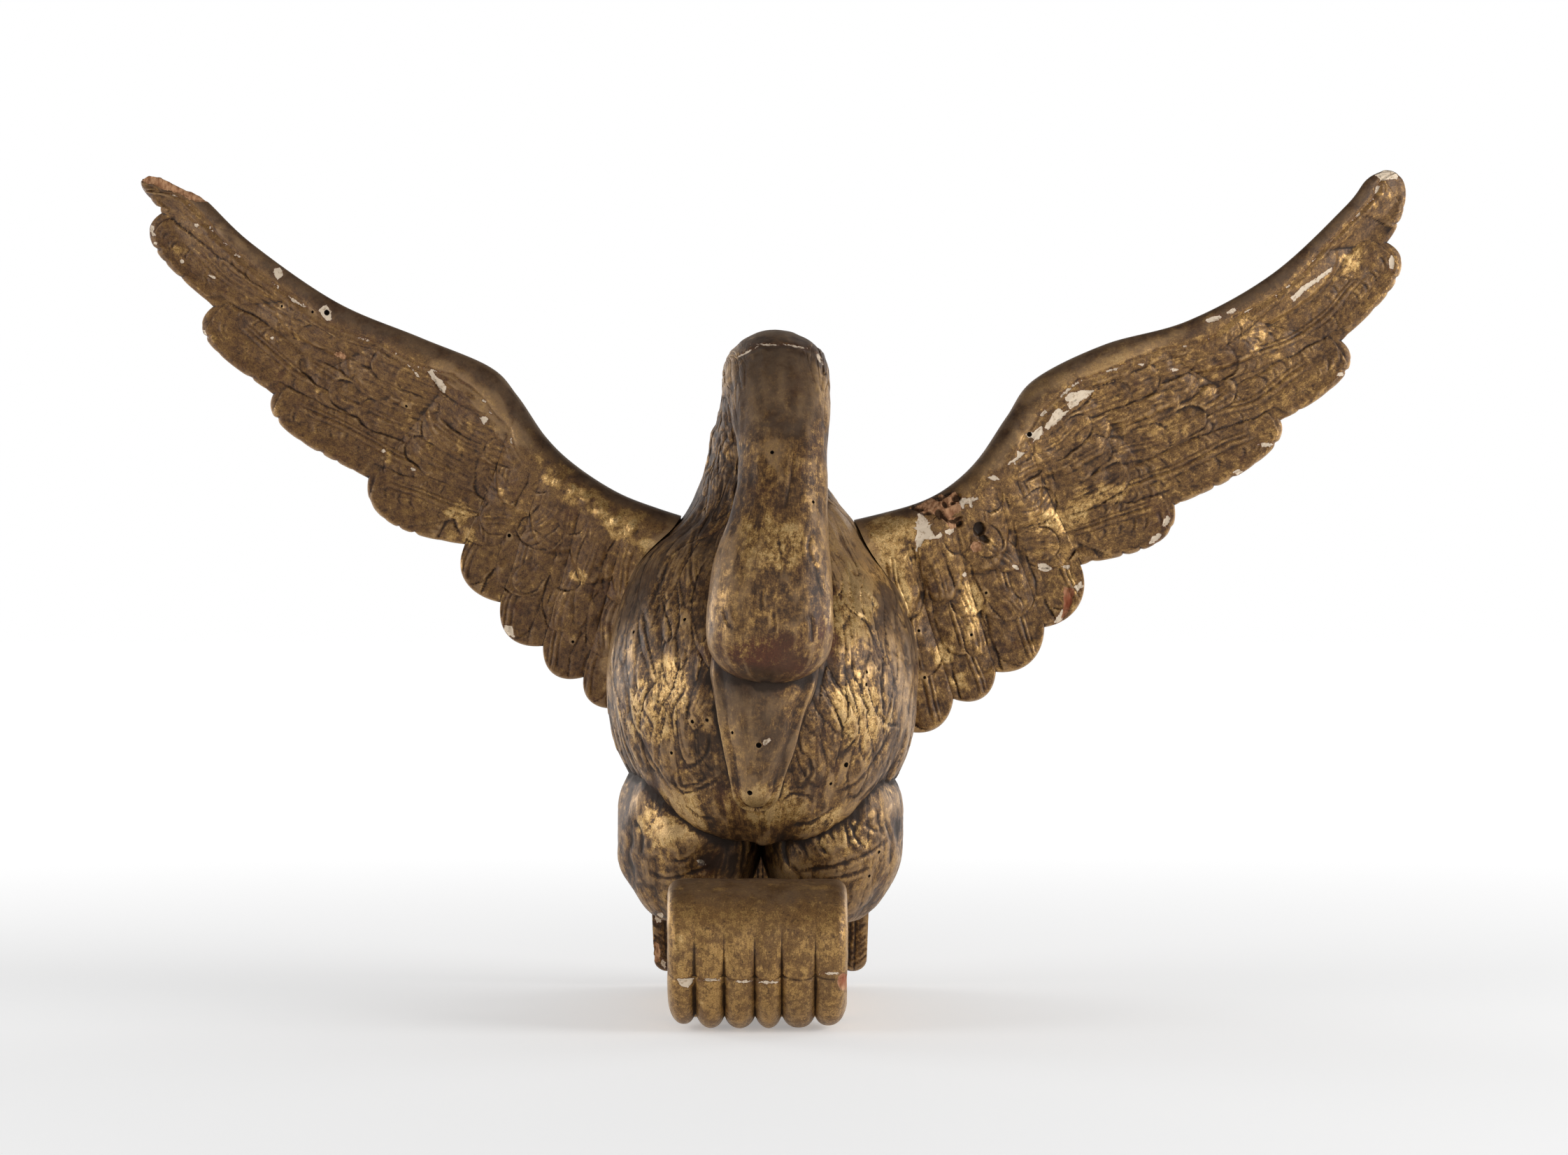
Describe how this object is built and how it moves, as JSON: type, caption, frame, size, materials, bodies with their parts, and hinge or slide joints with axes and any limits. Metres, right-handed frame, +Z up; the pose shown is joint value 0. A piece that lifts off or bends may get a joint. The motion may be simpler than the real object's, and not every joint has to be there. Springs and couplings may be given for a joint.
{
  "type": "gilded wooden swan carving",
  "caption": "Carved and gilded wooden swan with raised wings and neck bent down over the breast, seated on a plinth rolled into a fluted scroll.",
  "frame": {"origin": "on the plinth's flat underside, below the swan's thighs", "axes": "+Z up, -Y the way the swan faces, +X towards the swan's left wing"},
  "size_m": [0.6174, 0.2087, 0.403],
  "materials": {
    "swan_gilding": "old oil gilding over gesso, dulled, rubbed and chipped",
    "scroll_gilding": "old gilding over gesso, duller and browner, cracked along a glue line"
  },
  "bodies": {
    "root": {"scroll_plinth": "scroll_gilding", "swan_body": "swan_gilding", "right_wing": "swan_gilding", "left_wing": "swan_gilding"}
  },
  "joints": []
}
